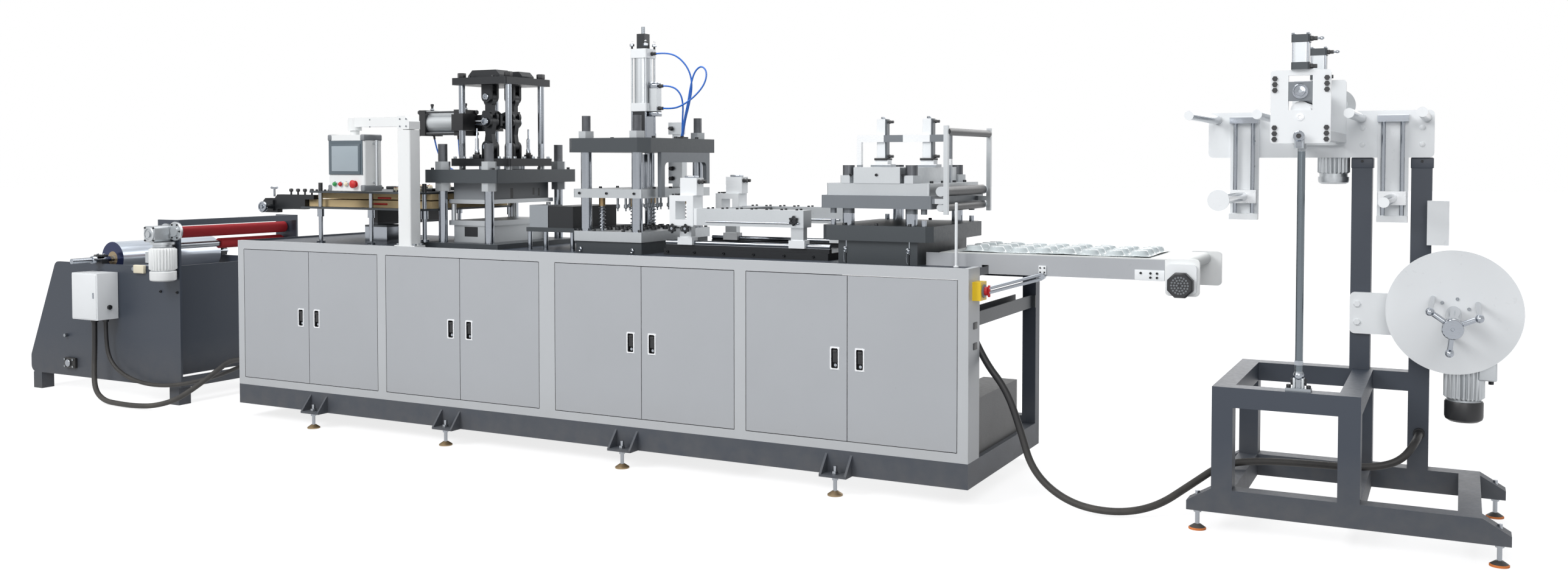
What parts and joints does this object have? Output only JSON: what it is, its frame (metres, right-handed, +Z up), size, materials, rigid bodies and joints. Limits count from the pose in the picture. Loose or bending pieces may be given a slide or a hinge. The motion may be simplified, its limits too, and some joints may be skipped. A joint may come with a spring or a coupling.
{
  "type": "inline thermoforming machine",
  "caption": "Inline film thermoforming machine: unwinder with heated forming, cutting and stacking presses on long cabinets, output conveyor and scrap rewinder.",
  "frame": {"origin": "middle of the machine's box at floor level, on the line's centreline", "axes": "+X along the line from the unwinder to the rewinder, +Y from the operator's side to the rear, +Z up"},
  "size_m": [7.721, 1.1456, 1.972],
  "materials": {
    "alloy": "anodised",
    "belt": "satin",
    "black_metal": "satin",
    "cable": "matte",
    "dark_plate": "satin",
    "film": "satin",
    "hose": "satin",
    "light_plate": "satin",
    "light_sheet": "satin",
    "motor_paint": "satin",
    "panel_paint": "satin",
    "red_rubber": "satin",
    "slate_frame": "satin",
    "steel_bar": "polished",
    "steel_roller": "satin",
    "tan_board": "matte",
    "tool_steel": "satin",
    "white_paint": "gloss"
  },
  "bodies": {
    "machine": {"air_hoses": "hose", "base_frame": "slate_frame", "booster_cylinder": "alloy", "cabinet_face": "light_sheet", "cabinet_frame": "slate_frame", "conduit_left": "cable", "conduit_right": "cable", "conveyor_belt": "belt", "conveyor_frame": "alloy", "cutting_base": "tool_steel", "cutting_head": "dark_plate", "electrical_boxes": "black_metal", "feed_guide": "black_metal", "film_drive": "motor_paint", "forming_cylinder": "alloy", "forming_moulds": "light_plate", "forming_plates": "dark_plate", "gearmotors": "motor_paint", "heater_frame": "tool_steel", "heater_slabs": "tan_board", "levelling_feet": "steel_bar", "nip_frame": "light_plate", "pendant_post": "panel_paint", "press_columns": "steel_bar", "rewinder_frame": "slate_frame", "rewinder_plate": "white_paint", "stacking_base": "dark_plate", "table_top": "slate_frame", "tension_rod": "alloy", "toggle_frame": "black_metal", "transport_bed": "dark_plate", "unwinder_frame": "slate_frame", "valve_stand": "black_metal"},
    "pendant_arm": {"pendant_arm": "panel_paint"},
    "control_panel": {"control_panel": "panel_paint"},
    "toggle_upper": {"toggle_upper": "black_metal"},
    "toggle_lower": {"toggle_lower": "black_metal"},
    "forming_crosshead": {"forming_crosshead": "dark_plate"},
    "ram_rod": {"ram_rod": "steel_bar"},
    "cutting_platen": {"cutting_platen": "light_plate"},
    "transport_carriage": {"transport_carriage": "alloy"},
    "stacking_platen": {"stacking_platen": "light_plate", "stacking_cylinders": "alloy"},
    "gate_roller": {"gate_roller": "steel_roller"},
    "film_roll": {"film_roll": "film"},
    "feed_roller": {"feed_roller": "red_rubber"},
    "press_roller": {"press_roller": "steel_roller"},
    "nip_roller": {"nip_roller": "steel_roller"},
    "reel": {"reel": "white_paint"},
    "dancer_left": {"dancer_left": "alloy"},
    "dancer_right": {"dancer_right": "alloy"},
    "door_1": {"door_1": "light_sheet"},
    "door_2": {"door_2": "light_sheet"},
    "door_3": {"door_3": "light_sheet"},
    "door_4": {"door_4": "light_sheet"},
    "door_5": {"door_5": "light_sheet"},
    "door_6": {"door_6": "light_sheet"},
    "door_7": {"door_7": "light_sheet"},
    "door_8": {"door_8": "light_sheet"}
  },
  "joints": [
    {"name": "door_1_hinge", "type": "hinge", "parent": "machine", "child": "door_1", "pos_m": [-1.9537, -0.475, 0.545], "axis": [0, 0, -1], "range_deg": [0, 90]},
    {"name": "door_2_hinge", "type": "hinge", "parent": "machine", "child": "door_2", "pos_m": [-1.0293, -0.475, 0.545], "axis": [0, 0, 1], "range_deg": [0, 90]},
    {"name": "door_3_hinge", "type": "hinge", "parent": "machine", "child": "door_3", "pos_m": [-0.9707, -0.475, 0.545], "axis": [0, 0, -1], "range_deg": [0, 90]},
    {"name": "door_4_hinge", "type": "hinge", "parent": "machine", "child": "door_4", "pos_m": [-0.0463, -0.475, 0.545], "axis": [0, 0, 1], "range_deg": [0, 90]},
    {"name": "door_5_hinge", "type": "hinge", "parent": "machine", "child": "door_5", "pos_m": [0.0463, -0.475, 0.545], "axis": [0, 0, -1], "range_deg": [0, 90]},
    {"name": "door_6_hinge", "type": "hinge", "parent": "machine", "child": "door_6", "pos_m": [0.9707, -0.475, 0.545], "axis": [0, 0, 1], "range_deg": [0, 90]},
    {"name": "door_7_hinge", "type": "hinge", "parent": "machine", "child": "door_7", "pos_m": [1.0293, -0.475, 0.545], "axis": [0, 0, -1], "range_deg": [0, 90]},
    {"name": "door_8_hinge", "type": "hinge", "parent": "machine", "child": "door_8", "pos_m": [1.9537, -0.475, 0.545], "axis": [0, 0, 1], "range_deg": [0, 90]},
    {"name": "pendant_swivel", "type": "hinge", "parent": "machine", "child": "pendant_arm", "pos_m": [-0.875, -0.412, 1.49], "axis": [0, 0, 1], "range_deg": [0, 90]},
    {"name": "panel_swivel", "type": "hinge", "parent": "pendant_arm", "child": "control_panel", "pos_m": [-1.228, -0.412, 1.466], "axis": [0, 0, 1], "range_deg": [-60, 60]},
    {"name": "toggle_hinge", "type": "hinge", "parent": "machine", "child": "toggle_upper", "pos_m": [-0.642, 0, 1.657], "axis": [0, 1, 0], "range_deg": [0, 30]},
    {"name": "knee_hinge", "type": "hinge", "parent": "toggle_upper", "child": "toggle_lower", "pos_m": [-0.642, 0, 1.533], "axis": [0, 1, 0], "range_deg": [-60.5, 0]},
    {"name": "crosshead_slide", "type": "slide", "parent": "machine", "child": "forming_crosshead", "axis": [0, 0, 1], "range_m": [0, 0.03343]},
    {"name": "ram_slide", "type": "slide", "parent": "machine", "child": "ram_rod", "axis": [-1, 0, 0], "range_m": [0, 0.0622]},
    {"name": "cutting_slide", "type": "slide", "parent": "machine", "child": "cutting_platen", "axis": [0, 0, -1], "range_m": [0, 0.055]},
    {"name": "transport_slide", "type": "slide", "parent": "machine", "child": "transport_carriage", "axis": [-1, 0, 0], "range_m": [0, 0.07]},
    {"name": "stacking_slide", "type": "slide", "parent": "machine", "child": "stacking_platen", "axis": [0, 0, -1], "range_m": [0, 0.04]},
    {"name": "gate_roller_spin", "type": "hinge", "parent": "stacking_platen", "child": "gate_roller", "pos_m": [1.845, -0.04, 1.454], "axis": [0, 1, 0], "continuous": true},
    {"name": "film_roll_spin", "type": "hinge", "parent": "machine", "child": "film_roll", "pos_m": [-3.205, 0, 0.779], "axis": [0, 1, 0], "continuous": true},
    {"name": "feed_roller_spin", "type": "hinge", "parent": "machine", "child": "feed_roller", "pos_m": [-2.628, 0, 0.944], "axis": [0, 1, 0], "continuous": true},
    {"name": "press_roller_spin", "type": "hinge", "parent": "machine", "child": "press_roller", "pos_m": [-2.652, 0, 0.868], "axis": [0, 1, 0], "continuous": true},
    {"name": "nip_roller_spin", "type": "hinge", "parent": "machine", "child": "nip_roller", "pos_m": [3.167, 0, 1.577], "axis": [0, 1, 0], "continuous": true},
    {"name": "reel_spin", "type": "hinge", "parent": "machine", "child": "reel", "pos_m": [3.646, 0, 0.78], "axis": [0, 1, 0], "continuous": true},
    {"name": "dancer_left_slide", "type": "slide", "parent": "machine", "child": "dancer_left", "axis": [0, 0, 1], "range_m": [-0.03, 0.24]},
    {"name": "dancer_right_slide", "type": "slide", "parent": "machine", "child": "dancer_right", "axis": [0, 0, 1], "range_m": [-0.03, 0.24]}
  ],
  "couplings": [
    {"joint": "knee_hinge", "follows": "toggle_hinge", "ratio": -2},
    {"joint": "crosshead_slide", "follows": "toggle_hinge", "m_per_rad": 0.063456},
    {"joint": "ram_slide", "follows": "toggle_hinge", "m_per_rad": 0.11841}
  ]
}
